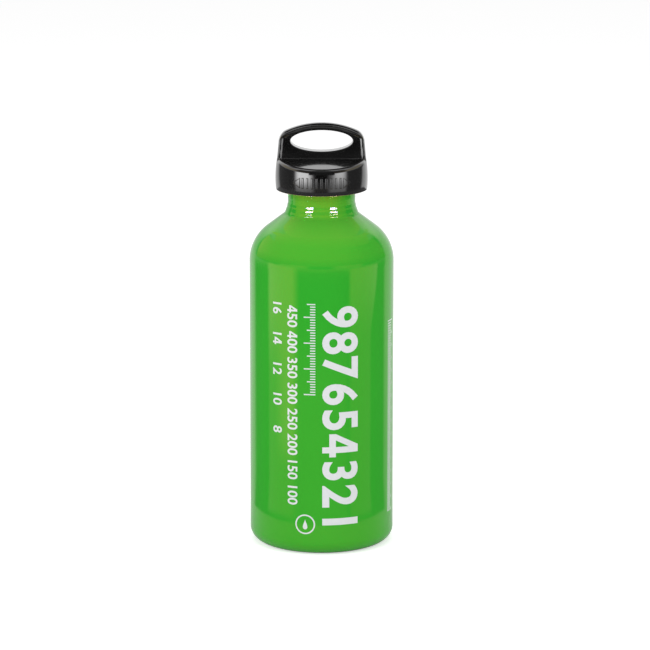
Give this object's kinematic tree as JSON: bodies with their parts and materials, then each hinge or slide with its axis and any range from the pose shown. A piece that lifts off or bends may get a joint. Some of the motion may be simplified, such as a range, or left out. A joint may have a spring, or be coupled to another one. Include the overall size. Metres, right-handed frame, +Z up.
{
  "type": "camping fuel bottle",
  "caption": "Enamelled aluminium stove fuel bottle with a screw plug inside a push-and-turn cap that carries a hanging loop.",
  "frame": {"origin": "on the bottle's axis, in the plane of the foot ring it stands on", "axes": "+Z up the axis towards the cap, the cap's loop lies in the XZ plane, and the bottle is looked at along +Y"},
  "size_m": [0.072, 0.072, 0.2127],
  "materials": {
    "enamel": "gloss",
    "gasket": "matte",
    "plug": "satin",
    "spring": "satin",
    "ring": "satin",
    "cap": "satin"
  },
  "bodies": {
    "bottle": {"bottle_shell": "enamel"},
    "seal": {"plug_gasket": "gasket"},
    "plug": {"threaded_plug": "plug", "lift_spring": "spring"},
    "retainer": {"retaining_ring": "ring"},
    "cap": {"cap_shell": "cap"}
  },
  "joints": [
    {"name": "cap_lift", "type": "slide", "parent": "bottle", "child": "seal", "axis": [0, 0, 1], "range_m": [0, 0.0175]},
    {"name": "cap_turn", "type": "hinge", "parent": "seal", "child": "plug", "pos_m": [0, 0, 0.181], "axis": [0, 0, 1], "range_deg": [0, 1800]},
    {"name": "cap_press", "type": "slide", "parent": "plug", "child": "retainer", "axis": [0, 0, -1], "range_m": [0, 0.0022], "stiffness_N_per_m": 1500, "springref_m": -0.003, "deforming": ["lift_spring"]},
    {"name": "shell_spin", "type": "hinge", "parent": "retainer", "child": "cap", "pos_m": [0, 0, 0.1853], "axis": [0, 0, 1], "continuous": true}
  ],
  "couplings": [
    {"joint": "cap_turn", "follows": "cap_lift", "rad_per_m": 1795.2}
  ]
}
